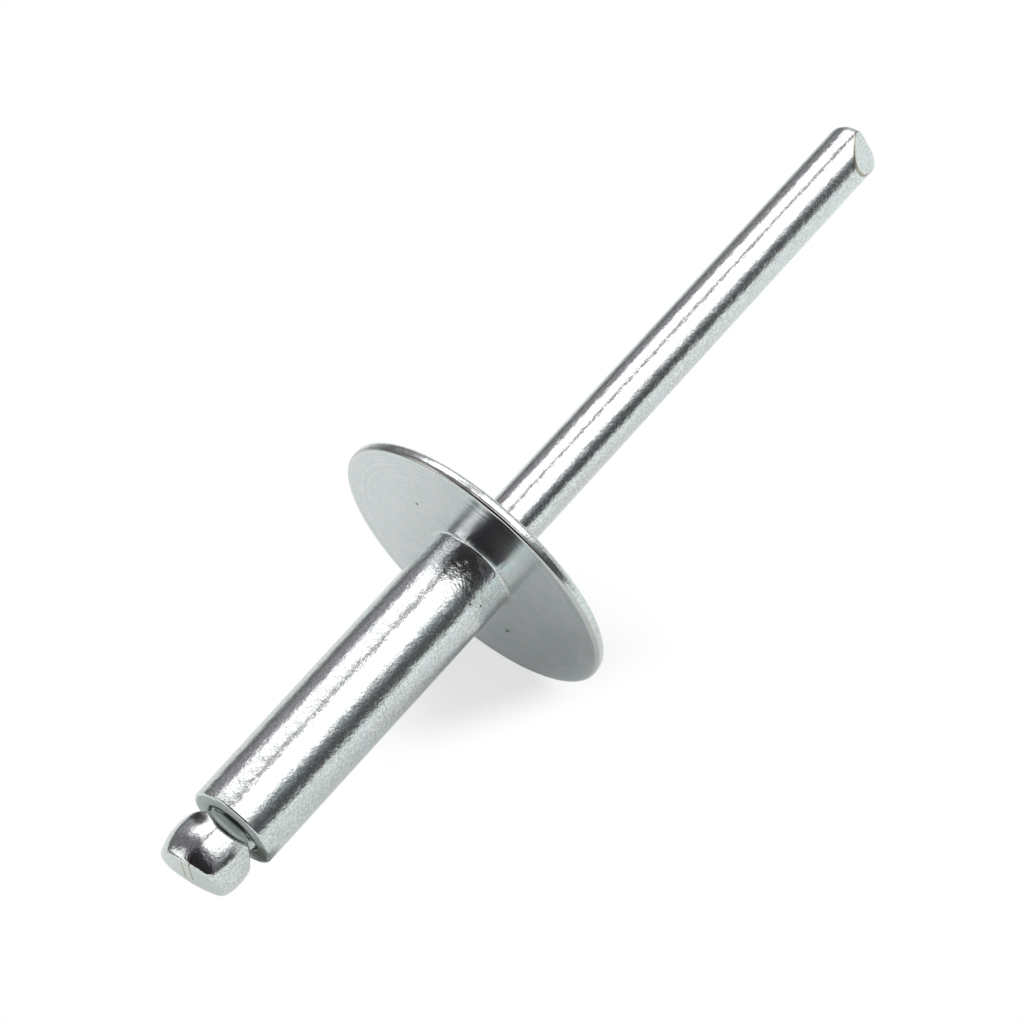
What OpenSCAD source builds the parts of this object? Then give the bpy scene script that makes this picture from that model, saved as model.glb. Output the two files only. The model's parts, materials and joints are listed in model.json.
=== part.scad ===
// Large-flange blind rivet of 4.8 x 18 mm, unset, lying as it comes to rest.
// Millimetres. +Z is up and the surface that it lies on is Z = 0.
// Each piece is drawn on its own axis first: Z = 0 at the flange's seat, +Z towards the
// mandrel's tip, -Z towards the mandrel's head. The last step lays that axis down.

/* [Shank] */
// Outer diameter of the tubular shank
shank_d = 4.8; // [4:0.1:6.4]
// Length of the shank from the flange's seat to its open end
shank_len = 18; // [10:0.5:25]
// Rounding of the shank's outer end
shank_end_r = 0.12; // [0.05:0.01:0.3]
// Fillet between the shank and the flange's seat
seat_fillet = 0.16; // [0.05:0.01:0.3]
// Chamfer round the bore's mouth at the shank's end
mouth_chamfer = 0.1; // [0.05:0.01:0.2]

/* [Flange] */
// Diameter of the flange
flange_d = 16; // [12:0.5:18]
// Height of the domed crown over the seat, at the axis
crown_h = 2.0; // [1.5:0.1:2.8]
// Radius of the full round at the flange's rim
rim_r = 0.35; // [0.2:0.05:0.6]

/* [Mandrel] */
// Diameter of the mandrel's stem
stem_d = 2.9; // [2:0.05:3.1]
// Play between the stem and the bore, on the radius
stem_play = 0.05; // [0.02:0.01:0.15]
// Length of the mandrel from the flange's seat to its tip
stem_reach = 31.3; // [20:0.1:50]
// Rounding of the tip's edge
nose_round_r = 0.75; // [0.2:0.05:1.2]
// Angle between the axis and the normal of the sheared face on the tip
nose_face_angle = 62; // [50:1:70]
// Distance past the tip's end at which the plane of the sheared face meets the axis
nose_face_rise = 0.95; // [0.6:0.05:1.4]
// Direction of the sheared face, turned about the axis
nose_face_turn = 250; // [0:1:360]

/* [Break neck] */
// Depth of each pinch below the stem's surface
pinch_depth = 0.35; // [0.2:0.05:0.6]
// Distance of the pinches from the shank's end, towards the head
pinch_drop = 0.22; // [0.1:0.02:0.6]
// Half the angle between the two walls of a pinch
pinch_half_angle = 39; // [30:1:50]
// Direction of the first of the four pinches, turned about the axis
pinch_turn = 24; // [0:1:90]

/* [Mandrel head] */
// Diameter of the head at its fullest
head_d = 4.24; // [3.8:0.02:5]
// Distance from the shank's end to where the head starts to flare out of the stem
head_gap = 0.1; // [0.05:0.05:0.4]
// Angle between the axis and the flaring underside of the head
head_flare_angle = 45; // [35:1:60]
// Distance from the shank's end to the head's fullest section
head_belly = 1.75; // [1.4:0.05:2.2]
// Distance from the shank's end to the far end of the head
head_len = 3.55; // [3.2:0.05:4.2]
// Radius of the head's bulging side, seen in section
belly_r = 3.2; // [2.6:0.1:6]
// Rounding of the head's end
head_end_r = 0.75; // [0.3:0.05:0.9]
// Tilt of the sheared face across the head's end
head_face_tilt = 16; // [0:1:20]
// Depth of that face below the head's end, on the axis
head_face_depth = 0.42; // [0.2:0.02:0.6]
// Direction in which the sheared face falls away, turned about the axis
head_face_turn = 321; // [0:1:360]
// Depth of the pressed flat on the head's side that the rivet lies on
rest_flat_depth = 0.06; // [0.04:0.01:0.15]

/* [Hidden] */
$fn = 96;
// Overlap of cutting shapes past the faces that they cut
past = 1;

shank_r = shank_d / 2;
flange_r = flange_d / 2;
stem_r = stem_d / 2;
bore_r = stem_r + stem_play;
head_r = head_d / 2;

// The crown is part of a sphere that touches the round of the rim.
rim_ring_r = flange_r - rim_r;
crown_r = (pow(crown_h, 2) - 2 * crown_h * rim_r + pow(rim_ring_r, 2)) / (2 * (crown_h - 2 * rim_r));
crown_centre = crown_h - crown_r;
rim_touch_angle = asin(rim_ring_r / (crown_r - rim_r));

// The head's section: a flare out of the stem, a bulging side and a rounded end.
head_flare_z = -shank_len - head_gap;
head_belly_z = -shank_len - head_belly;
head_end_z = -shank_len - head_len;
belly_centre_r = head_r - belly_r;
end_round_z = head_end_z + head_end_r;
end_round_r = belly_centre_r + sqrt(pow(belly_r - head_end_r, 2) - pow(head_belly_z - end_round_z, 2));

// Lying down, the rim's round touches the surface, and the head stands on its pressed flat.
flat_from_belly_centre = belly_r - rest_flat_depth;
rest_run = rim_r - head_belly_z;
rest_drop = rim_ring_r - belly_centre_r;
rest_tilt = atan2(rest_drop, rest_run)
    + asin((rim_r - flat_from_belly_centre) / norm([rest_run, rest_drop]));
axis_height = rim_ring_r * cos(rest_tilt) - rim_r * sin(rest_tilt) + rim_r;

// Ends of the lying part along X, which centre it over the origin.
nose_ring_r = stem_r - nose_round_r;
nose_ring_z = stem_reach - nose_round_r;
nose_x = nose_ring_z * cos(rest_tilt) + nose_ring_r * sin(rest_tilt) + nose_round_r;
head_x = end_round_z * cos(rest_tilt) - end_round_r * sin(rest_tilt) - head_end_r;
centre_x = (nose_x + head_x) / 2;

// Lays the rivet's axis in the XZ plane, tip up, on the rim and the mandrel's head.
module lay_down() {
    translate([-centre_x, 0, axis_height])
        rotate([0, 90 - rest_tilt, 0])
            children();
}

// Half section of the flange: flat seat, round rim and spherical crown.
module flange_section() {
    translate([rim_ring_r, rim_r])
        circle(r = rim_r);
    intersection() {
        translate([0, crown_centre])
            circle(r = crown_r, $fn = 360);
        polygon([
            [0, 0],
            [rim_ring_r, 0],
            [rim_ring_r, rim_r],
            [rim_ring_r + rim_r * sin(rim_touch_angle), rim_r + rim_r * cos(rim_touch_angle)],
            [rim_ring_r + rim_r * sin(rim_touch_angle), crown_h],
            [0, crown_h]
        ]);
    }
}

// Half section of the shank, with its rounded end and the fillet under the flange.
module shank_section() {
    translate([0, -shank_len])
        square([shank_r - shank_end_r, shank_len + rim_r]);
    translate([0, shank_end_r - shank_len])
        square([shank_r, shank_len + rim_r - shank_end_r]);
    translate([shank_r - shank_end_r, shank_end_r - shank_len])
        circle(r = shank_end_r);
    difference() {
        translate([0, -seat_fillet])
            square([shank_r + seat_fillet, seat_fillet + rim_r]);
        translate([shank_r + seat_fillet, -seat_fillet])
            circle(r = seat_fillet);
    }
}

// Shank and flange, cold formed in one piece, with the bore right through.
module rivet_body() {
    color("silver")
        lay_down()
            difference() {
                union() {
                    rotate_extrude()
                        flange_section();
                    rotate_extrude()
                        shank_section();
                }
                translate([0, 0, -shank_len - past])
                    cylinder(r = bore_r, h = shank_len + crown_h + 2 * past);
                translate([0, 0, -shank_len - past])
                    cylinder(r1 = bore_r + mouth_chamfer + past, r2 = bore_r, h = mouth_chamfer + past);
            }
}

// Half section of the mandrel's stem from inside the head to the rounded edge of its tip.
module stem_section() {
    translate([0, head_belly_z])
        square([stem_r, nose_ring_z - head_belly_z]);
    translate([0, nose_ring_z])
        square([nose_ring_r, nose_round_r]);
    translate([nose_ring_r, nose_ring_z])
        intersection() {
            circle(r = nose_round_r);
            square([nose_round_r, nose_round_r]);
        }
}

// Half section of the mandrel's head.
module head_section() {
    flare_out_r = head_r + past;
    intersection() {
        translate([belly_centre_r, head_belly_z])
            circle(r = belly_r, $fn = 360);
        polygon([
            [0, head_flare_z],
            [stem_r, head_flare_z],
            [flare_out_r, head_flare_z - (flare_out_r - stem_r) / tan(head_flare_angle)],
            [flare_out_r, end_round_z],
            [end_round_r, end_round_z],
            [end_round_r, head_end_z],
            [0, head_end_z]
        ]);
    }
    translate([end_round_r, end_round_z])
        circle(r = head_end_r);
}

// A block whose lower face is the sheared face across the head's end.
module head_face_cut() {
    rotate([0, 0, head_face_turn])
        translate([0, 0, head_end_z + head_face_depth])
            rotate([0, -head_face_tilt, 0])
                translate([0, 0, -head_len])
                    cube([4 * head_r, 4 * head_r, 2 * head_len], center = true);
}

// A block whose face is the sheared face on the tip.
module nose_face_cut() {
    rotate([0, 0, nose_face_turn])
        translate([0, 0, stem_reach + nose_face_rise])
            rotate([0, nose_face_angle, 0])
                translate([0, 0, stem_d])
                    cube([4 * stem_d, 4 * stem_d, 2 * stem_d], center = true);
}

// The four pinches that make the neck where the stem breaks off.
module neck_pinches() {
    for (turn = [0:90:270])
        rotate([0, 0, pinch_turn + turn])
            translate([stem_r - pinch_depth, 0, -shank_len - pinch_drop])
                rotate([90, 0, 0])
                    linear_extrude(height = 2 * head_d, center = true)
                        polygon([
                            [0, 0],
                            [stem_d, stem_d * tan(pinch_half_angle)],
                            [stem_d, -stem_d * tan(pinch_half_angle)]
                        ]);
}

// A block whose top is the surface that the head's pressed flat lies on.
module rest_flat_cut() {
    translate([head_belly_z * cos(rest_tilt) - centre_x, 0, -head_r])
        cube([4 * head_r, 4 * head_r, 2 * head_r], center = true);
}

// The mandrel: rounded and sheared tip, straight stem, pinched neck and formed head.
module mandrel() {
    color("gainsboro")
        difference() {
            lay_down()
                difference() {
                    union() {
                        rotate_extrude()
                            stem_section();
                        rotate_extrude()
                            head_section();
                    }
                    neck_pinches();
                    head_face_cut();
                    nose_face_cut();
                }
            rest_flat_cut();
        }
}

rivet_body();
mandrel();
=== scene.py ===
# %% [markdown]
# # A pop rivet lying on a white table
# The rivet is two pieces of bright zinc-plated steel: a tubular body under a wide domed flange,
# and a mandrel, a drawn wire that runs through the body and ends in a formed head. The CAD
# model is loaded first, as a fixed frame in metres, and every later cell works around it.

# %% Load the frame
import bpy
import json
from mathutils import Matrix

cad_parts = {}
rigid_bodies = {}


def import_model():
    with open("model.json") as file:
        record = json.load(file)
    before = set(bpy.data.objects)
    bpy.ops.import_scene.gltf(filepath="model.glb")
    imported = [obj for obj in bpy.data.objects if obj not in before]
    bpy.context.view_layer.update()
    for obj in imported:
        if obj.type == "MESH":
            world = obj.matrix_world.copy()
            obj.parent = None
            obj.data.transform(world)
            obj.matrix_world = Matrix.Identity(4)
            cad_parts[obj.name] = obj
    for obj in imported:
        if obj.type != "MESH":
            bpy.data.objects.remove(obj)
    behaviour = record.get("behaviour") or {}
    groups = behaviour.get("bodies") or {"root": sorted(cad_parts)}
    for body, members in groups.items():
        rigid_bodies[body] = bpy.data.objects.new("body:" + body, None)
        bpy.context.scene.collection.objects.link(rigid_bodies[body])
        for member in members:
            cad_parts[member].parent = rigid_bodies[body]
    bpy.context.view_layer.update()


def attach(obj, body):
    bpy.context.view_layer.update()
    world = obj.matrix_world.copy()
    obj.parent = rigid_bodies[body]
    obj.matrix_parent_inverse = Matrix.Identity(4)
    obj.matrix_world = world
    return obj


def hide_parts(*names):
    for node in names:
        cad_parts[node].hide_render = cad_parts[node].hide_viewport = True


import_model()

# %% [markdown]
# ## The rivet's own axis
# The rivet leans on its flange's rim and on its head, so its axis rises by 16 degrees along +X.
# Both pieces are easiest to make standing upright: z = 0 at the flange's seat, z up towards the
# mandrel's tip, in millimetres. One matrix then lays each of them down on the table.

# %% From upright millimetres to the table
import bpy
import bmesh
import math
from mathutils import Matrix, Vector

REST_TILT = math.radians(16.162155)
CENTRE_X = 4.621982
AXIS_HEIGHT = 7.600230

lie_down = (Matrix.Scale(0.001, 4)
            @ Matrix.Translation((-CENTRE_X, 0, AXIS_HEIGHT))
            @ Matrix.Rotation(math.radians(90) - REST_TILT, 4, "Y"))
turned = lie_down.to_3x3() * 1000
print("axis", tuple(round(c, 5) for c in turned @ Vector((0, 0, 1))))

# %% [markdown]
# ## The camera
# The picture looks down at the rivet through a long lens, from the side of its head, so that
# the flange's flat seat shows. The camera is placed in the upright rivet's own frame and goes
# through the same matrix, so it keeps its view of the rivet however the rivet leans.

# %% The camera
CAMERA_PLACE = Vector((-210.3509, -126.72607, -85.64304))
LOOK = turned @ Vector((0.80435716, 0.48617711, 0.341528))
RIGHT = turned @ Vector((0.18401274, -0.75040557, 0.63484706))

camera_data = bpy.data.cameras.new("camera")
camera_data.sensor_width = 36
camera_data.lens = 185.933
camera_data.clip_start = 0.01
camera = bpy.data.objects.new("camera", camera_data)
facing = Matrix((RIGHT, RIGHT.cross(LOOK), -LOOK)).transposed().to_4x4()
camera.matrix_world = Matrix.Translation(lie_down @ CAMERA_PLACE) @ facing
bpy.context.scene.collection.objects.link(camera)
bpy.context.scene.camera = camera
bpy.context.scene.view_settings.view_transform = "Standard"
print("camera looks down by", round(math.degrees(math.asin(-LOOK.z)), 1), "degrees")

# %% [markdown]
# ## Shader maths as Python
# A material's pattern is a sum of small masks. Writing `1 - mask * 0.3` is easier to read than
# a chain of Math nodes, so one small class wraps a socket and turns each operator into a node.
# `node` makes any other node: its type, its settings, then the values or links of its inputs.

# %% One class for shader maths
class Sock:
    def __init__(self, tree, socket):
        self.tree, self.socket = tree, socket

    def __add__(self, other): return maths("ADD", self, other)
    def __radd__(self, other): return maths("ADD", other, self)
    def __sub__(self, other): return maths("SUBTRACT", self, other)
    def __rsub__(self, other): return maths("SUBTRACT", other, self)
    def __mul__(self, other): return maths("MULTIPLY", self, other)
    def __rmul__(self, other): return maths("MULTIPLY", other, self)
    def __abs__(self): return maths("ABSOLUTE", self)

    def step(self, low, high, out_low=0.0, out_high=1.0):
        """A smooth step from out_low at low to out_high at high, which may be the smaller."""
        return node(self.tree, "ShaderNodeMapRange", {"interpolation_type": "SMOOTHSTEP"},
                    self, low, high, out_low, out_high)

    def other(self, name):
        """Another output of the node that this one comes from."""
        return Sock(self.tree, self.socket.node.outputs[name])


def node(tree, kind, settings=None, *values, out=0, **named):
    """Any node. Values go to its inputs in order, or by name with _ for a space."""
    made = tree.nodes.new(kind)
    for key, value in (settings or {}).items():
        if key == "stops":
            stops = made.color_ramp.elements
            while len(stops) < len(value):
                stops.new(1.0)
            for element, (place, colour) in zip(stops, value):
                element.position = place
                element.color = (*colour, 1)
        else:
            setattr(made, key, value)
    inputs = [s for s in made.inputs if s.enabled]
    pairs = list(zip(inputs, values))
    pairs += [(next(s for s in inputs if s.name.replace(" ", "_") == key), value)
              for key, value in named.items()]
    for socket, value in pairs:
        if isinstance(value, Sock):
            tree.links.new(value.socket, socket)
        else:
            socket.default_value = value
    outputs = [s for s in made.outputs if s.enabled]
    if not outputs:
        return made
    return Sock(tree, outputs[out] if isinstance(out, int) else made.outputs[out])


def maths(operation, *values):
    """One Math node, in the tree of the first value that is a socket."""
    tree = next(v.tree for v in values if isinstance(v, Sock))
    return node(tree, "ShaderNodeMath", {"operation": operation}, *values)


print("shader maths ready")

# %% [markdown]
# ## Vectors, colours and trees
# A Math node would turn a colour grey, so colours go through a Mix node and vectors through
# Vector Math. These few helpers keep the cells that use them short.

# %% Helpers for vectors and colours
def dot(a, b):
    return node(a.tree, "ShaderNodeVectorMath", {"operation": "DOT_PRODUCT"}, a, b, out="Value")


def distance(a, b):
    return node(a.tree, "ShaderNodeVectorMath", {"operation": "DISTANCE"}, a, b, out="Value")


def parts(vector):
    """The x, y and z of a vector."""
    x = node(vector.tree, "ShaderNodeSeparateXYZ", None, vector)
    return x, x.other("Y"), x.other("Z")


def blend(factor, a, b):
    """Colour a, turning to colour b where factor is 1. Either may be a link or three numbers."""
    a, b = (c if isinstance(c, Sock) else (*c, 1) for c in (a, b))
    return node(factor.tree, "ShaderNodeMix", {"data_type": "RGBA"}, factor, A=a, B=b)


def fresh_tree(owner):
    owner.use_nodes = True
    owner.node_tree.nodes.clear()
    return owner.node_tree


print("colour helpers ready")

# %% [markdown]
# ## The table
# The rivet lies on a white sheet. A lit sheet could never come out as even white without too
# much light on the metal, so a share of plain Emission, where 1 is white, is mixed with the
# lit paper. Under the flange the camera sees more of the paper, and so its soft shadow. The
# metal sees the paper too, best where it lies in the rivet's shade, and a dimmer table behind.

# %% The table's sheet
SHEET_SIZE = 2.0

floor_mesh = bpy.data.meshes.new("table")
bm = bmesh.new()
bmesh.ops.create_grid(bm, x_segments=1, y_segments=1, size=SHEET_SIZE)
bm.to_mesh(floor_mesh)
bm.free()
table = bpy.data.objects.new("table", floor_mesh)
bpy.context.scene.collection.objects.link(table)
print("table", tuple(round(c, 2) for c in table.dimensions))

# %% [markdown]
# ## The table's paper
# For the camera the sheet glows white, but for the soft shadow. That is deepest under the rim
# and stops a few millimetres in front of the rivet. For the metal it is mostly plain paper
# near the rivet and under the rim, and further out a white glow that dims towards the back.

# %% The table's paper
UNDER_RIM = (-0.0035, -0.0015, 0.0)
TO_THE_BACK = (-0.1, 1.0, 0.0)
TO_THE_FRONT = (-0.363, -0.932, 0.0)
SHADOW = 0.34

table_paint = bpy.data.materials.new("table_white")
tree = fresh_tree(table_paint)
spot = node(tree, "ShaderNodeTexCoord", None, out="Object")
from_rim = distance(spot, UNDER_RIM)
from_rivet = distance(spot, (0, 0, 0))
front_limit = dot(spot, TO_THE_FRONT).step(0.0030, 0.0062, 1.0, 0.0)
not_far_behind = dot(spot, TO_THE_BACK).step(0.020, 0.070, 1.0, 0.25)
shade = from_rim.step(0.003, 0.0095, SHADOW, 0.0) * front_limit
glow_in_metal = from_rivet.step(0.010, 0.040, 0.30, 0.90) * from_rim.step(0.001, 0.009, 0.3, 1.0)

paper = node(tree, "ShaderNodeBsdfDiffuse", None, (0.97, 0.98, 0.98, 1))
white = node(tree, "ShaderNodeEmission", None, (1, 1, 1, 1), 1.0)
dusk = node(tree, "ShaderNodeEmission", None, (0.20, 0.21, 0.21, 1), 1.0)
cool_white = node(tree, "ShaderNodeEmission", None, (0.92, 1.0, 0.97, 1), 1.0)


def either(factor, a, b):
    """Shader a, turning to shader b where factor is 1."""
    return node(factor.tree, "ShaderNodeMixShader", None, factor, a, b)


by_camera = node(tree, "ShaderNodeLightPath", None, out="Is Camera Ray")
by_metal = by_camera.other("Is Glossy Ray")
mirrored = either(glow_in_metal, paper, either(not_far_behind, dusk, cool_white))
seen = either(1 - shade, paper, white)
sheet = either(by_camera, either(by_metal, paper, mirrored), seen)
node(tree, "ShaderNodeOutputMaterial", None, sheet)
floor_mesh.materials.append(table_paint)
print("table's paper in", len(tree.nodes), "nodes")

# %% [markdown]
# ## Studio light
# Bright plating shows what stands round it, so its look is mostly the room's. The bands along
# the shank show a wide soft box over it and towards the viewer, a second one behind it, a dark
# gap between the two, and a dim room low down on both sides. One ramp holds that room:
# brightness against the angle from straight up, plus towards the back and minus towards the
# viewer. Soft edges between its stops are easier to set than on a row of lamps.

# %% The room's bands
ROOM_BACK = 110.0
ROOM_FRONT = -110.0
ROOM = (
    (-110, (0.75, 0.80, 0.78)),
    (-88, (0.75, 0.80, 0.78)),
    (-83, (0.13, 0.13, 0.13)),
    (-70, (0.095, 0.095, 0.10)),
    (-60, (0.14, 0.15, 0.155)),
    (-52, (0.30, 0.33, 0.34)),
    (-43, (0.80, 0.83, 0.82)),
    (-34, (2.0, 2.0, 2.0)),
    (0, (2.0, 2.0, 2.0)),
    (5, (0.38, 0.37, 0.36)),
    (11, (0.38, 0.37, 0.36)),
    (17, (1.8, 1.8, 1.8)),
    (45, (1.8, 1.8, 1.8)),
    (51, (0.55, 0.54, 0.56)),
    (60, (0.30, 0.28, 0.31)),
    (68, (0.36, 0.35, 0.37)),
    (80, (0.19, 0.19, 0.19)),
    (92, (0.19, 0.18, 0.19)),
    (110, (0.45, 0.47, 0.46)),
)
RAMP_PEAK = 2.0

world = bpy.data.worlds.new("room")
bpy.context.scene.world = world
tree = fresh_tree(world)
x, y, z = parts(node(tree, "ShaderNodeTexCoord", None, out="Generated"))
angle = maths("ARCTAN2", y, z) * math.degrees(1)
place = node(tree, "ShaderNodeMapRange", None, angle, ROOM_FRONT, ROOM_BACK, 0.0, 1.0)
stops = [((a - ROOM_FRONT) / (ROOM_BACK - ROOM_FRONT), tuple(c / RAMP_PEAK for c in colour))
         for a, colour in ROOM]
bands = node(tree, "ShaderNodeValToRGB", {"stops": stops}, place)
bands = node(tree, "ShaderNodeVectorMath", {"operation": "SCALE"}, bands, Scale=RAMP_PEAK)
print("room of", len(ROOM), "bands")

# %% [markdown]
# ## The room's two ends
# The boxes don't reach the ends of the room. What the mandrel's head faces is dark, which
# gives the head its dark patches, apart from one pale panel behind it. The end that the tip
# points at is an even grey. The camera itself sees plain white instead of the room.

# %% The room's two ends
DARK, DIM, HIGH_UP = (0.03, 0.027, 0.03), (0.20, 0.19, 0.20), (0.20, 0.20, 0.21)
PANEL = (1.4, 1.4, 1.4)
TIP_END = (0.62, 0.64, 0.63)

panel_side = (x - 0.10 * angle.step(38, 70)).step(-0.46, -0.53)
panel = angle.step(32, 44) * angle.step(80, 66) * panel_side
head_room = blend(x.step(-0.50, -0.30), DARK, DIM)
head_room = blend(angle.step(14, 42), head_room, HIGH_UP)
head_room = blend(panel, head_room, PANEL)
room = blend((x - 0.17 * angle.step(8, 22)).step(-0.30, -0.10), head_room, bands)
room = blend((x + 0.26 * angle.step(-45, -58)).step(0.60, 0.80), room, TIP_END)
by_camera = node(tree, "ShaderNodeLightPath", None, out="Is Camera Ray")
background = node(tree, "ShaderNodeBackground", None, blend(by_camera, room, (1, 1, 1)), 1.0)
node(tree, "ShaderNodeOutputWorld", None, background)
print("room in", len(tree.nodes), "nodes")

# %% [markdown]
# ## The lathe
# Both pieces are round about their axis, and a mirror-like finish shows every kink, so each is
# spun from a fine profile in 256 steps. A profile is a walk of straight lines and arcs. Points
# are closer together where a surface bends or is shaped later.

# %% Profiles and the lathe
STEPS = 256


def line(profile, r, z, spacing=0.6):
    """Extend the profile by a straight line to (r, z)."""
    r0, z0 = profile[-1]
    count = max(1, round(math.hypot(r - r0, z - z0) / spacing))
    profile += [(r0 + (r - r0) * i / count, z0 + (z - z0) * i / count)
                for i in range(1, count + 1)]


def arc(profile, centre_r, centre_z, radius, start, end, spacing=0.05):
    """Extend the profile by an arc about a centre, between two angles in degrees."""
    count = max(2, round(abs(math.radians(end - start)) * radius / spacing))
    for i in range(count + 1):
        a = math.radians(start + (end - start) * i / count)
        point = (centre_r + radius * math.cos(a), centre_z + radius * math.sin(a))
        if math.hypot(point[0] - profile[-1][0], point[1] - profile[-1][1]) > 1e-4:
            profile.append(point)


def lathe(profile):
    """Spin a profile about z into a closed, outward-facing bmesh."""
    bm = bmesh.new()
    verts = [bm.verts.new((r, 0, z)) for r, z in profile]
    edges = [bm.edges.new(pair) for pair in zip(verts, verts[1:])]
    bmesh.ops.spin(bm, geom=verts + edges, cent=(0, 0, 0), axis=(0, 0, 1), angle=math.tau,
                   steps=STEPS, use_merge=True)
    bmesh.ops.remove_doubles(bm, verts=bm.verts, dist=1e-5)
    bmesh.ops.recalc_face_normals(bm, faces=bm.faces)
    return bm


print("lathe ready, in", STEPS, "steps")

# %% [markdown]
# ## Laying a piece down
# A finished piece's object sits at the origin, so the matrix moves its mesh. The piece rides on
# the one body of the model and stands for its CAD node, which it hides.

# %% Laying a piece down
def finish_piece(bm, name, node_name):
    """Lay the upright shape down, smooth it and let it stand for its CAD node."""
    bmesh.ops.transform(bm, matrix=lie_down, verts=bm.verts)
    mesh = bpy.data.meshes.new(name)
    bm.to_mesh(mesh)
    bm.free()
    mesh.shade_smooth()
    piece = bpy.data.objects.new(name, mesh)
    bpy.context.scene.collection.objects.link(piece)
    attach(piece, "root")
    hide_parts(node_name)
    low, high = ([round(pick(v.co[i] for v in mesh.vertices) * 1000, 3) for i in range(3)]
                 for pick in (min, max))
    print(name, len(mesh.polygons), "faces, mm", low, high)
    return piece


print("finish_piece ready")

# %% [markdown]
# ## Presses
# Dies, blades and the table shape the round pieces further. A press pulls each vertex beyond a
# plane back onto it, with a smooth minimum instead of a hard cut, which leaves the soft edges
# that plating gives.

# %% Presses
def soft_min(a, b, width):
    """The smaller of a and b, with a round corner of about this width where they cross."""
    gap = (a - b) / width
    if abs(gap) > 6:
        return min(a, b)
    return (a + b) / 2 - width * math.log(2 * math.cosh(gap / 2))


def press_plane(bm, normal, reach, width):
    """Pull every vertex beyond the plane back onto it, along its unit normal."""
    for v in bm.verts:
        beyond = v.co.dot(normal) - reach
        if beyond > -6 * width:
            v.co += normal * (soft_min(beyond, 0, width) - beyond)


def direction(turn, lean):
    """Unit vector that leans away from +z by an angle, towards a turn about z, in degrees."""
    t, a = math.radians(turn), math.radians(lean)
    return Vector((math.sin(a) * math.cos(t), math.sin(a) * math.sin(t), math.cos(a)))


table_normal = turned.inverted() @ Vector((0, 0, -1))
print("the table's normal, upright", tuple(round(c, 3) for c in table_normal))

# %% [markdown]
# ## The rivet's body
# Shank and flange are cold formed from one blank. The flat seat keeps the rings of the die it
# was pressed in: three shallow grooves near the rim are real geometry here, and the finer ones
# are left to the finish. The crown is a sphere that runs into the round of the rim, whose edge
# next to the seat is sharper. Where that edge rests on the table, the table presses it level.

# %% The rivet's body
SHANK_R, SHANK_LEN, SHANK_END_R, SEAT_FILLET = 2.4, 18.0, 0.12, 0.16
FLANGE_R, RIM_R, RIM_EDGE, CROWN_H = 8.0, 0.35, 0.16, 2.0
BORE_R, MOUTH_CHAMFER = 1.5, 0.1
SEAT_GROOVES = ((7.28, 0.16, 0.010), (6.62, 0.10, 0.006), (6.1, 0.10, 0.004))
RIM_LEVEL_EDGE = 0.004

ring_r = FLANGE_R - RIM_R
crown_r = (CROWN_H ** 2 - 2 * CROWN_H * RIM_R + ring_r ** 2) / (2 * (CROWN_H - 2 * RIM_R))
crown_centre = CROWN_H - crown_r
touch = math.degrees(math.acos(ring_r / (crown_r - RIM_R)))
bore_top = crown_centre + math.sqrt(crown_r ** 2 - BORE_R ** 2)

body = [(BORE_R, bore_top)]
line(body, BORE_R, MOUTH_CHAMFER - SHANK_LEN, 2.0)
line(body, BORE_R + MOUTH_CHAMFER, -SHANK_LEN, 0.05)
line(body, SHANK_R - SHANK_END_R, -SHANK_LEN, 0.2)
arc(body, SHANK_R - SHANK_END_R, SHANK_END_R - SHANK_LEN, SHANK_END_R, -90, 0, 0.02)
line(body, SHANK_R, -SEAT_FILLET, 0.5)
arc(body, SHANK_R + SEAT_FILLET, -SEAT_FILLET, SEAT_FILLET, 180, 90, 0.02)
line(body, FLANGE_R - RIM_EDGE, 0, 0.04)
arc(body, FLANGE_R - RIM_EDGE, RIM_EDGE, RIM_EDGE, -90, 0, 0.02)
arc(body, ring_r, RIM_R, RIM_R, 0, touch, 0.03)
arc(body, 0, crown_centre, crown_r, touch, math.degrees(math.acos(BORE_R / crown_r)), 0.15)
body[-1] = body[0]


def groove(r):
    """How deep the die's rings go into the seat at a radius."""
    return sum(depth * math.exp(-((r - at) / width) ** 2) for at, width, depth in SEAT_GROOVES)


body = [(r, z + groove(r)) if abs(z) < 1e-6 and r > SHANK_R + SEAT_FILLET else (r, z)
        for r, z in body]
shell = lathe(body)
press_plane(shell, table_normal, AXIS_HEIGHT, RIM_LEVEL_EDGE)
rivet_body = finish_piece(shell, "body_shell", "rivet_body")

# %% [markdown]
# ## The mandrel
# The mandrel is a wire: its tip is sheared at a slant, four pinches mark the neck where it
# will break, and its head is formed between dies and then sheared off the wire. It starts as
# a round blank from the lathe, with closer points where the presses will shape it.

# %% The mandrel's round blank
STEM_R, STEM_REACH, NOSE_ROUND = 1.45, 31.3, 0.75
HEAD_R, HEAD_LEN, HEAD_BELLY, BELLY_R, HEAD_END_R = 2.12, 3.55, 1.75, 3.2, 0.75
HEAD_GAP, FLARE = 0.1, math.radians(45)
NECK_ZONE, SHEAR_ZONE = 0.5, 2.6

head_end = -SHANK_LEN - HEAD_LEN
belly_z = -SHANK_LEN - HEAD_BELLY
belly_centre = HEAD_R - BELLY_R
round_z = head_end + HEAD_END_R
round_r = belly_centre + math.sqrt((BELLY_R - HEAD_END_R) ** 2 - (belly_z - round_z) ** 2)
leave = math.degrees(math.atan2(round_z - belly_z, round_r - belly_centre))


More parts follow.
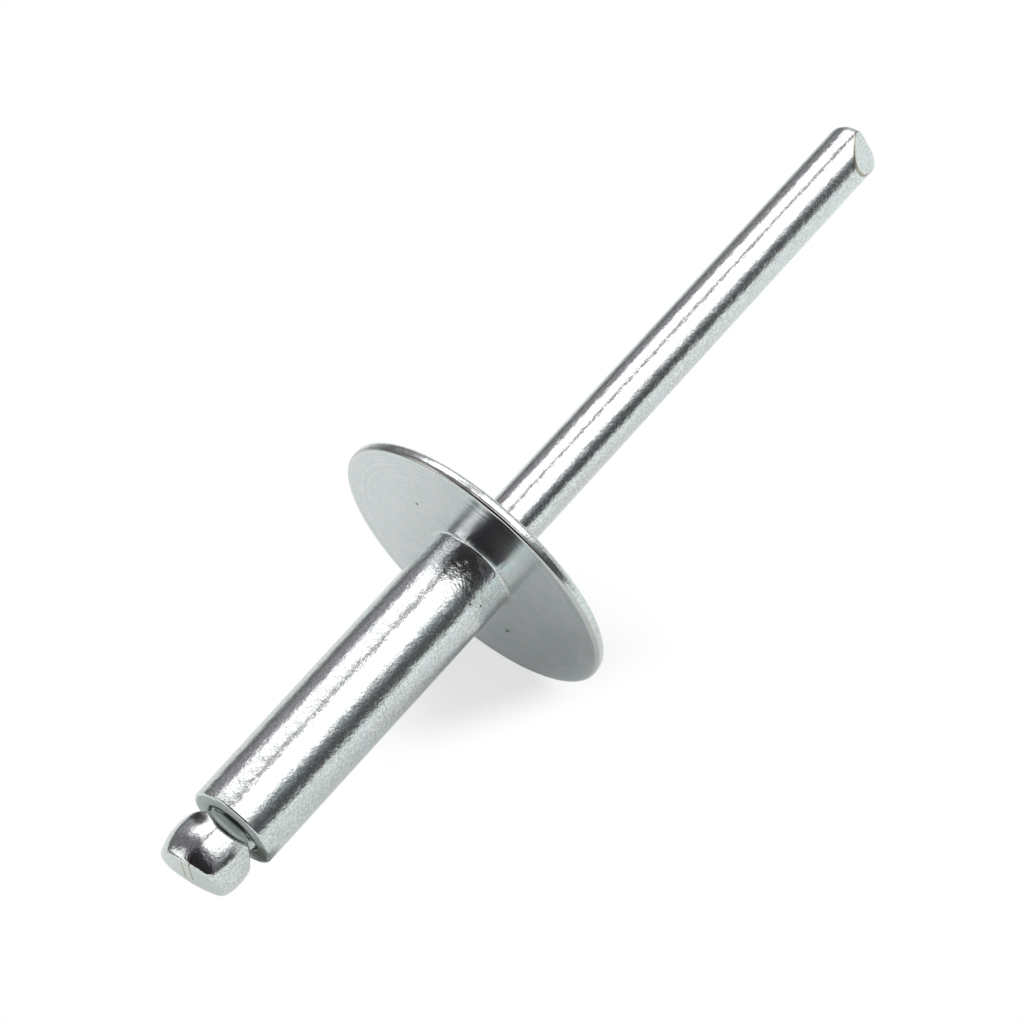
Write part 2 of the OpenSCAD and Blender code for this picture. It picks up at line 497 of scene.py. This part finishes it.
def flare_meets_belly():
    """Angle on the belly's arc where the flare out of the stem reaches it."""
    low, high = 0.0, 60.0
    for _ in range(40):
        a = (low + high) / 2
        r = belly_centre + BELLY_R * math.cos(math.radians(a))
        z = belly_z + BELLY_R * math.sin(math.radians(a))
        inside = r - STEM_R < (-SHANK_LEN - HEAD_GAP - z) * math.tan(FLARE)
        low, high = (a, high) if inside else (low, a)
    return low


blank = [(0, head_end)]
line(blank, round_r, head_end, 0.05)
arc(blank, round_r, round_z, HEAD_END_R, -90, leave, 0.04)
arc(blank, belly_centre, belly_z, BELLY_R, leave, flare_meets_belly(), 0.04)
line(blank, STEM_R, -SHANK_LEN - HEAD_GAP, 0.03)
line(blank, STEM_R, -SHANK_LEN + NECK_ZONE, 0.04)
line(blank, STEM_R, STEM_REACH - SHEAR_ZONE, 0.7)
line(blank, STEM_R, STEM_REACH - NOSE_ROUND, 0.06)
arc(blank, STEM_R - NOSE_ROUND, STEM_REACH - NOSE_ROUND, NOSE_ROUND, 0, 90, 0.05)
line(blank, 0, STEM_REACH, 0.06)
wire = lathe(blank)
print("blank", len(blank), "profile points,", len(wire.faces), "faces")

# %% [markdown]
# ## Forming the head
# The dies squeeze the head into soft lobes with faint ridges between them. Each lobe is a press
# that takes only a share of the way to its plane, so the head stays round between the ridges.
# A lobe is the direction that it faces, its distance as a share of the radius, and its force.

# %% Form the head
LOBES = ((214, 0.945, 0.55), (172, 0.90, 0.45), (259, 0.965, 0.5), (304, 0.96, 0.5),
         (349, 0.96, 0.5), (34, 0.96, 0.5), (79, 0.96, 0.5), (124, 0.96, 0.5))
LOBE_START, LOBE_RUN, LOBE_EDGE = 0.35, 0.5, 0.05

presses = [(direction(turn, 90), inset, force) for turn, inset, force in LOBES]
for v in wire.verts:
    along = -SHANK_LEN - v.co.z - LOBE_START
    if along > 0:
        share = min(1.0, along / LOBE_RUN)
        full = math.hypot(v.co.x, v.co.y)
        for out, inset, force in presses:
            reach = v.co.dot(out)
            v.co += out * (soft_min(reach, inset * full, LOBE_EDGE) - reach) * force * share
print("head formed in", len(presses), "lobes")

# %% [markdown]
# ## Pinching and shearing
# Four blades pinch the neck: each leaves two walls with a slightly round bottom between them.
# The head's end and the tip are sheared flat, the tip with a crisp edge. Last, the head is
# pressed level where it lies on the table.

# %% Pinch and shear
PINCH_DEPTH, PINCH_DROP, PINCH_HALF = 0.35, 0.22, math.radians(39)
PINCH_TURN, PINCH_BOTTOM, PINCH_EDGE = 24, 0.06, 0.03
PINCH_SPAN, PINCH_CLOSE = 2, 0.3
END_TURN, END_LEAN, END_DEPTH, END_EDGE = 321, 11, 0.48, 0.12
NOSE_TURN, NOSE_LEAN, NOSE_RISE, NOSE_EDGE = 250, 62, 0.95, 0.02
REST_EDGE = 0.01

for turn in range(PINCH_TURN, PINCH_TURN + 360, 90):
    out = direction(turn, 90)
    for v in wire.verts:
        if abs(v.co.z + SHANK_LEN) < PINCH_SPAN:
            along = abs(v.co.z + SHANK_LEN + PINCH_DROP) / math.tan(PINCH_HALF)
            wall = STEM_R - PINCH_DEPTH + math.hypot(along, PINCH_BOTTOM) - PINCH_BOTTOM
            reach = v.co.dot(out)
            if reach > wall - PINCH_CLOSE:
                v.co += out * (soft_min(reach, wall, PINCH_EDGE) - reach)

end_normal = direction(END_TURN, 180 - END_LEAN)
nose_normal = direction(NOSE_TURN, NOSE_LEAN)
nose_distance = nose_normal.dot(Vector((0, 0, STEM_REACH + NOSE_RISE)))
press_plane(wire, end_normal, end_normal.dot(Vector((0, 0, head_end + END_DEPTH))), END_EDGE)
press_plane(wire, nose_normal, nose_distance, NOSE_EDGE)
press_plane(wire, table_normal, AXIS_HEIGHT, REST_EDGE)
bmesh.ops.recalc_face_normals(wire, faces=wire.faces)
mandrel = finish_piece(wire, "mandrel_wire", "mandrel")

# %% [markdown]
# ## Marks on the plating
# Zinc is plated over cold-formed steel: a clear grey mirror, mottled by the crystals in the
# plating. Small marks sit on it, and each is a mask over the piece. Object coordinates are
# turned back to the upright rivet, so that rings and drawn lines come from the distance to the
# axis and the place along it. A scratch is the cut of a plane inside a small ball.

# %% Masks for marks
def upright(tree):
    """Object coordinates as upright millimetres, z along the rivet's axis, 0 at the seat."""
    back = lie_down.inverted()
    at = node(tree, "ShaderNodeTexCoord", None, out="Object")
    at = node(tree, "ShaderNodeVectorMath", {"operation": "SCALE"}, at, Scale=1000.0)
    return node(tree, "ShaderNodeMapping", {"vector_type": "POINT"}, at,
                back.to_translation(), back.to_euler(), (1, 1, 1))


def noise(at, scale, detail=3.0, rough=0.6):
    return node(at.tree, "ShaderNodeTexNoise", None, at, Scale=scale, Detail=detail,
                Roughness=rough)


def spots(at, balls):
    """1 inside any of the small balls (x, y, z, radius), with soft edges."""
    return sum(distance(at, tuple(centre)).step(size, size * 0.4) for *centre, size in balls)


def scratches(at, lines):
    """1 on thin straight scratches: a plane (normal, offset) inside a ball (centre, radius)."""
    return sum(abs(dot(at, normal) - offset).step(0.085, 0.03)
               * distance(at, centre).step(reach, reach * 0.7)
               for normal, offset, centre, reach in lines)


print("masks ready")

# %% [markdown]
# ## What marks the body
# The ring at the shank's end is dull, because no tool has polished it there. The bore is
# darkened inside with painted shade, and a thin brownish line of painted shade runs under the
# rim's edge. There are a few dark pits, and two dark patches of painted shade on the ring.

# %% The body's own marks
BODY_PITS = ((-3.42, 2.66, 0, 0.13), (4.62, -1.29, 0, 0.16), (4.75, -1.15, 0, 0.10),
             (-1.60, -1.79, -1.69, 0.09), (-1.28, -2.03, -1.76, 0.07),
             (-1.2, -2.08, -2.15, 0.10), (-0.67, -2.30, -1.73, 0.08))
# Two mottled dark patches of painted shade on the shank's end ring.
RING_SHADE_PATCHES = ((0.60, -1.85, -18.0, 1.05), (1.35, -1.45, -18.0, 1.1))


def body_marks(at, z, radius, colour):
    """The colour with the body's marks and painted shade, and the mask of its dull end ring."""
    bore_shade = radius.step(1.62, 1.55)
    end_ring = z.step(-17.99, -18.0) * radius.step(2.3, 2.2)
    rim_edge_shade = radius.step(7.90, 7.95) * z.step(0.26, 0.12)
    # Painted shade: the bore is darkened inside.
    colour = blend(bore_shade, colour, (0.12, 0.12, 0.10))
    colour = blend(end_ring * 0.6, colour, (0.72, 0.80, 0.76))
    # Painted shade: a thin brownish dark line under the rim's edge.
    return blend(rim_edge_shade * 0.6, colour, (0.42, 0.38, 0.34)), end_ring


print("body:", len(BODY_PITS), "pits,", len(RING_SHADE_PATCHES), "dark_patches")

# %% [markdown]
# ## What marks the mandrel
# The plating is thick and pale on the pinches' lower walls, and the wall in the shade of the
# shank's end is nearly black. The tip's shear has a brown edge, and two brown scratches cross
# the head's sheared end.

# %% The mandrel's own marks
HEAD_PITS = ((-1.5, -1.6, -18.7, 0.12),)
# Two dark patches on the head, just below the pinches.
HEAD_DARK_PATCHES = ((-2.02, 0.50, -19.05, 0.55), (-1.80, 1.05, -18.95, 0.5))
END_SCRATCHES = (((0.2558, -0.9542, 0.1554), -3.618, (-0.26, 0.28, -21.14), 1.5),
                 ((0.2634, -0.9520, 0.1562), -3.211, (-0.45, -0.22, -21.11), 1.6))


def mandrel_marks(at, z, radius, colour):
    """The colour with the mandrel's marks, and the mask of the pinches' dull walls."""
    pinch_side = dot(at, direction(PINCH_TURN + 180, 90)).step(0.5, 0.8)
    shaded = z.step(-18.14, -18.06) * z.step(-17.5, -17.9) * radius.step(1.44, 1.40)
    wall = z.step(-18.9, -18.5) * z.step(-18.12, -18.20) * radius.step(1.9, 1.5)
    under = dot(at, nose_normal) - nose_distance
    shear_edge = under.step(-0.09, -0.06) * under.step(0, -0.012)
    colour = blend(shaded * pinch_side, colour, (0.05, 0.05, 0.04))
    colour = blend(wall * 0.95, colour, (0.90, 1.0, 0.96))
    colour = blend(shear_edge * 0.75, colour, (0.30, 0.24, 0.17))
    return blend(scratches(at, END_SCRATCHES) * 0.9, colour, (0.36, 0.26, 0.14)), wall


print("mandrel:", len(END_SCRATCHES), "scratches,", len(HEAD_DARK_PATCHES), "dark_patches")

# %% [markdown]
# ## The flange's seat
# The seat wasn't drawn through a die but pressed, so it is satin, with fine rings about the
# axis and a thin film that runs from greenish to pinkish in clouds. Low down on the seat, near
# the viewer, painted shade darkens the film.

# %% The seat's film
SEAT_SHADE = ((3.0, -6.4, 0, 3.2), (0.6, -7.6, 0, 1.6))


def seat_film(at, radius, cloud):
    """The seat's colour with its painted shade, and its fine rings as a height from 0 to 1."""
    rings = node(at.tree, "ShaderNodeTexNoise", {"noise_dimensions": "1D"},
                 W=radius + cloud * 0.15, Scale=5.0, Detail=5.0, Roughness=0.75)
    ringed = rings.step(0.45, 0.62) * radius.step(4.8, 6.4, 0.10, 0.38)
    film = blend(cloud.step(0.38, 0.62), (0.70, 0.79, 0.79), (0.84, 0.81, 0.83))
    film = blend(ringed, film, (0.56, 0.57, 0.58))
    # Painted shade: the film is darker at these places low on the seat.
    return blend(spots(at, SEAT_SHADE) * 0.22, film, (0.50, 0.53, 0.52)), rings


print("seat film with", len(SEAT_SHADE), "darker places")

# %% [markdown]
# ## Bright zinc plating
# The finish itself is a metal with four scales of unevenness: crystals, a mottle, a gentle
# swell that makes the edges of reflections ragged, and wide cool clouds. They change colour,
# roughness and bump together, because on the real thing one cause lies behind all three. The
# dull walls are hardly metal at all. Dark patches, tarnish and pits come last, over everything;
# the dark patches on the body's end ring are painted shade.

# %% Zinc plating
PLAIN_SHINE = 0.1


def plating(name, tint, stretch, bumpy, marks, dark_patches, pits):
    """Zinc plating of a tint, with patterns stretched along the axis and one piece's marks."""
    material = bpy.data.materials.new(name)
    tree = fresh_tree(material)
    at = upright(tree)
    x, y, z = parts(at)
    radius = maths("SQRT", x * x + y * y)
    seat = z.step(-0.05, -0.02) * z.step(0.25, 0.15) * radius.step(2.5, 2.7)
    drawn = node(tree, "ShaderNodeVectorMath", {"operation": "MULTIPLY"}, at, (1, 1, stretch))
    grain, mottle, swell = noise(drawn, 9.0, 2.0), noise(drawn, 3.6), noise(drawn, 1.9, 1.0, 0.5)
    cloud = noise(at, 0.8)

    colour = blend(grain.step(0.38, 0.62), [c * 0.70 for c in tint], tint)
    colour = blend(0.35 * cloud.step(0.35, 0.65), colour, (0.70, 0.74, 0.80))
    film, rings = seat_film(at, radius, cloud)
    colour = blend(seat * 0.7, colour, film)
    colour, wall = marks(at, z, radius, colour)
    # Dark patches: painted shade on the body's end ring, plain dark patches on the mandrel's
    # head.
    patch_mask = spots(at, dark_patches) * mottle.step(0.22, 0.45)
    colour = blend(patch_mask * 0.85, colour, (0.10, 0.11, 0.09))
    colour = blend(mottle.step(0.62, 0.72) * 0.35, colour, (0.58, 0.54, 0.48))
    pitted = spots(at, pits)
    colour = blend(pitted * 0.85, colour, (0.16, 0.11, 0.06))

    rough = 0.08 + mottle * 0.06 + seat * 0.05 + wall * 0.3 + pitted * 0.3
    uneven = grain * 0.009 + mottle * bumpy + swell * 0.018
    height = uneven * (1 - seat * 0.85) + rings * seat * 0.006 - pitted * 0.02
    bump = node(tree, "ShaderNodeBump", None, 1.0, Height=height, Distance=0.001)
    shader = node(tree, "ShaderNodeBsdfPrincipled", Base_Color=colour, Roughness=rough,
                  Metallic=1 - wall * 0.95, Normal=bump, Specular_IOR_Level=PLAIN_SHINE)
    node(tree, "ShaderNodeOutputMaterial", None, shader)
    return material


body_zinc = plating("zinc_plated_body", (0.81, 0.83, 0.82), 1.0, 0.014,
                    body_marks, RING_SHADE_PATCHES, BODY_PITS)
mandrel_zinc = plating("zinc_plated_mandrel", (0.81, 0.82, 0.81), 0.85, 0.011,
                       mandrel_marks, HEAD_DARK_PATCHES, HEAD_PITS)
for piece, zinc in ((rivet_body, body_zinc), (mandrel, mandrel_zinc)):
    piece.data.materials.append(zinc)
    print(piece.name, zinc.name, len(zinc.node_tree.nodes), "nodes")

# %% [markdown]
# ## The end

# %% The end
import json
